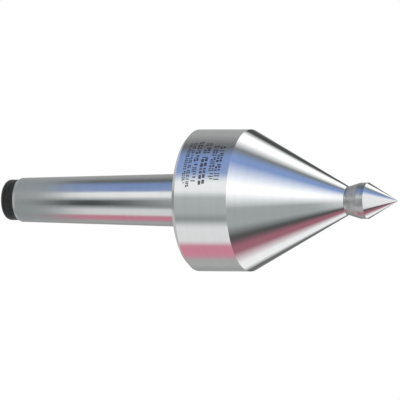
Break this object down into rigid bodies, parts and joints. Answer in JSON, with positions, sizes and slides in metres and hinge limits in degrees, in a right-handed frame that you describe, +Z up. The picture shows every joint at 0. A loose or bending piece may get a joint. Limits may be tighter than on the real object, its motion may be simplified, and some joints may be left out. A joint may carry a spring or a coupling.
{
  "type": "live center",
  "caption": "Rotating bull-nose live center: taper shank, cone head on ball, thrust and needle bearings, and a hard 60 degree point.",
  "frame": {"origin": "centre of the Morse taper's gauge plane, on the axis of rotation", "axes": "+X along the axis, from the shank towards the point; +Z up"},
  "size_m": [0.1876, 0.0635, 0.0635],
  "materials": {
    "ground_steel": "fine turned and ground, satin",
    "turned_head": "fine turned, satin on the drum and bright on the cone",
    "point_steel": "hard point, ground bright, with a matt collar",
    "blackened_steel": "black oxide, dull",
    "race_steel": "ground bearing steel",
    "rolling_steel": "polished bearing steel",
    "cage_brass": "machined",
    "zinc_steel": "pressed",
    "pad_brass": "plain",
    "seal_rubber": "matt"
  },
  "bodies": {
    "arbor": {"arbor": "ground_steel", "thrust_shaft_washer": "race_steel", "rear_inner_race": "race_steel", "race_spacer": "zinc_steel", "needle_inner_race": "race_steel", "tab_washer": "zinc_steel", "lock_nut": "blackened_steel"},
    "head": {"bull_nose_head": "turned_head", "point_insert": "point_steel", "retainer_ring": "blackened_steel", "retainer_o_ring": "seal_rubber", "lock_screw": "blackened_steel", "lock_screw_pad": "pad_brass", "lip_seal_case": "zinc_steel", "lip_seal_rubber": "seal_rubber", "lip_seal_spring": "zinc_steel", "wave_spring": "zinc_steel", "thrust_sleeve": "zinc_steel", "thrust_housing_washer": "race_steel", "rear_outer_race": "race_steel", "needle_outer_race": "race_steel", "needle_snap_ring": "blackened_steel"},
    "rear_ball_set": {"rear_cage": "cage_brass", "rear_bearing_balls": "rolling_steel"},
    "thrust_ball_set": {"thrust_cage": "cage_brass", "thrust_bearing_balls": "rolling_steel"},
    "needle_set": {"needle_cage": "cage_brass", "needle_rollers": "rolling_steel"}
  },
  "joints": [
    {"name": "head_spin", "type": "hinge", "parent": "arbor", "child": "head", "pos_m": [0, 0, 0], "axis": [1, 0, 0], "continuous": true},
    {"name": "rear_cage_spin", "type": "hinge", "parent": "arbor", "child": "rear_ball_set", "pos_m": [0.0313, 0, 0], "axis": [1, 0, 0], "continuous": true},
    {"name": "thrust_cage_spin", "type": "hinge", "parent": "arbor", "child": "thrust_ball_set", "pos_m": [0.0198, 0, 0], "axis": [1, 0, 0], "continuous": true},
    {"name": "needle_cage_spin", "type": "hinge", "parent": "arbor", "child": "needle_set", "pos_m": [0.0463, 0, 0], "axis": [1, 0, 0], "continuous": true}
  ],
  "couplings": [
    {"joint": "rear_cage_spin", "follows": "head_spin", "ratio": 0.6024},
    {"joint": "thrust_cage_spin", "follows": "head_spin", "ratio": 0.5},
    {"joint": "needle_cage_spin", "follows": "head_spin", "ratio": 0.555}
  ]
}
